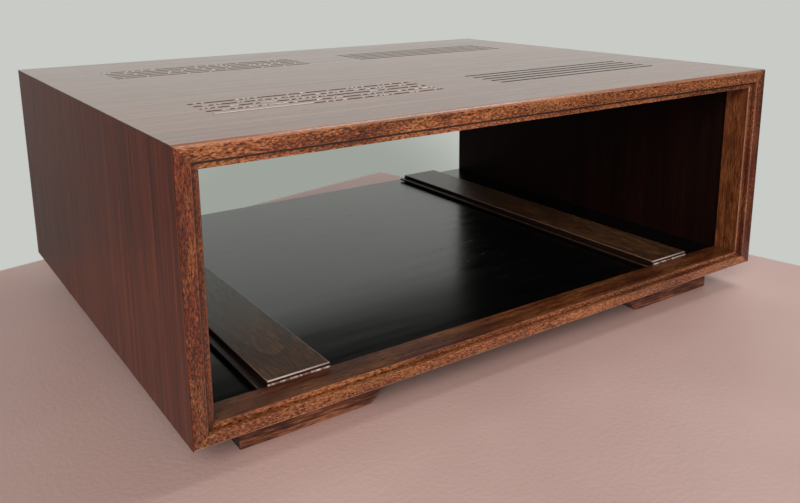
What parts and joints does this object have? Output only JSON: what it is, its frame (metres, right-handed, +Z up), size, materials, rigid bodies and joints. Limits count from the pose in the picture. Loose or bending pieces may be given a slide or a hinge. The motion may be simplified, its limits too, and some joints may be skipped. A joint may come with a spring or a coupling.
{
  "type": "receiver cabinet",
  "caption": "Open-fronted, open-backed wooden cabinet for a hi-fi receiver, with stepped front edging, a slotted top, plank runners on a black floor and block feet.",
  "frame": {"origin": "on the surface the cabinet stands on, below the middle of the cabinet's plan", "axes": "+X to the cabinet's right as seen from the front, +Y from the front opening to the back, +Z up"},
  "size_m": [0.47, 0.365, 0.1765],
  "materials": {
    "core_board": "plywood core, bare inside the slots and joints",
    "black_floor": "satin black paint",
    "face_veneer": "figured red-brown veneer, satin lacquer",
    "inner_veneer": "dark red-brown veneer, satin lacquer",
    "rear_band": "thin edge band, satin lacquer",
    "lipping": "solid red-brown wood, semi-gloss lacquer",
    "runner_plank": "factory-lacquered flooring plank",
    "foot_wood": "solid red-brown wood, satin lacquer",
    "screw_steel": "zinc-plated steel"
  },
  "bodies": {
    "root": {"top_panel": "core_board", "left_side_panel": "core_board", "right_side_panel": "core_board", "left_mitre_spline": "core_board", "right_mitre_spline": "core_board", "bottom_panel": "black_floor", "top_veneer": "face_veneer", "left_side_veneer": "face_veneer", "right_side_veneer": "face_veneer", "top_inner_veneer": "inner_veneer", "left_inner_veneer": "inner_veneer", "right_inner_veneer": "inner_veneer", "top_rear_band": "rear_band", "left_rear_band": "rear_band", "right_rear_band": "rear_band", "front_top_lipping": "lipping", "front_bottom_lipping": "lipping", "front_left_lipping": "lipping", "front_right_lipping": "lipping", "runner_left": "runner_plank", "runner_right": "runner_plank", "front_left_foot": "foot_wood", "front_right_foot": "foot_wood", "rear_left_foot": "foot_wood", "rear_right_foot": "foot_wood", "foot_screws": "screw_steel"}
  },
  "joints": []
}
